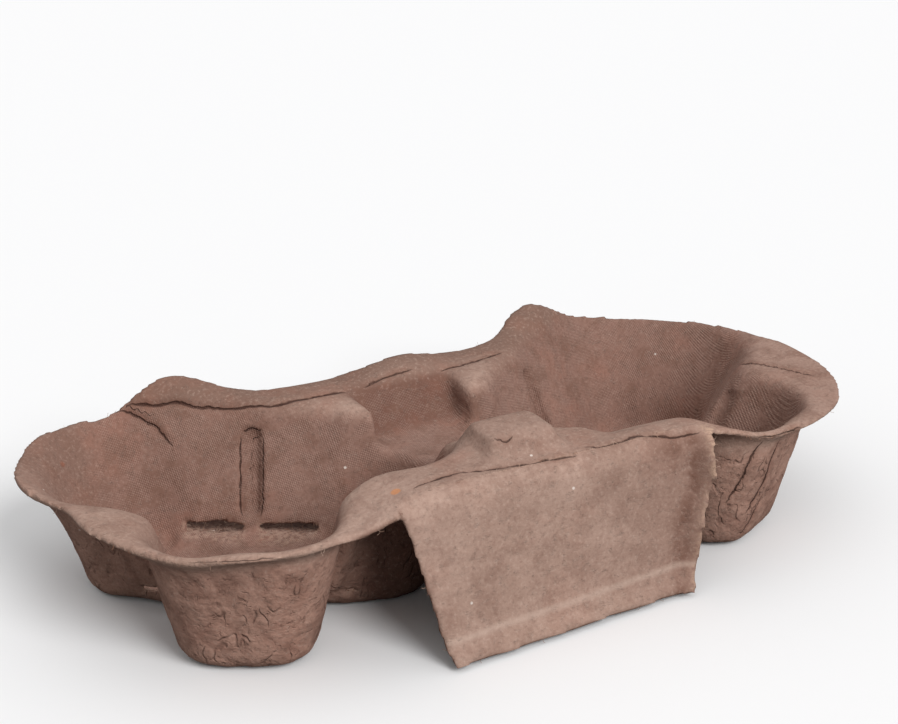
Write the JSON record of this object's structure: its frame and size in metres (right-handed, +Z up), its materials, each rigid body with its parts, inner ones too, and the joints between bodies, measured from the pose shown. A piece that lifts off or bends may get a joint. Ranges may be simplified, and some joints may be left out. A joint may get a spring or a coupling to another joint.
{
  "type": "cup carrier",
  "caption": "Moulded-pulp carrier tray with two legged cup cells, a raised middle land with a knob, slotted flexible panels and a front skirt.",
  "frame": {"origin": "centre of the bounding box at the table surface, under the tray", "axes": "+X along the two cells, +Y from the skirt side to the back, +Z up from the table"},
  "size_m": [0.2, 0.1078, 0.043],
  "materials": {
    "pulp": "rough moulded pulp"
  },
  "bodies": {
    "root": {"cup_carrier": "pulp"}
  },
  "joints": []
}
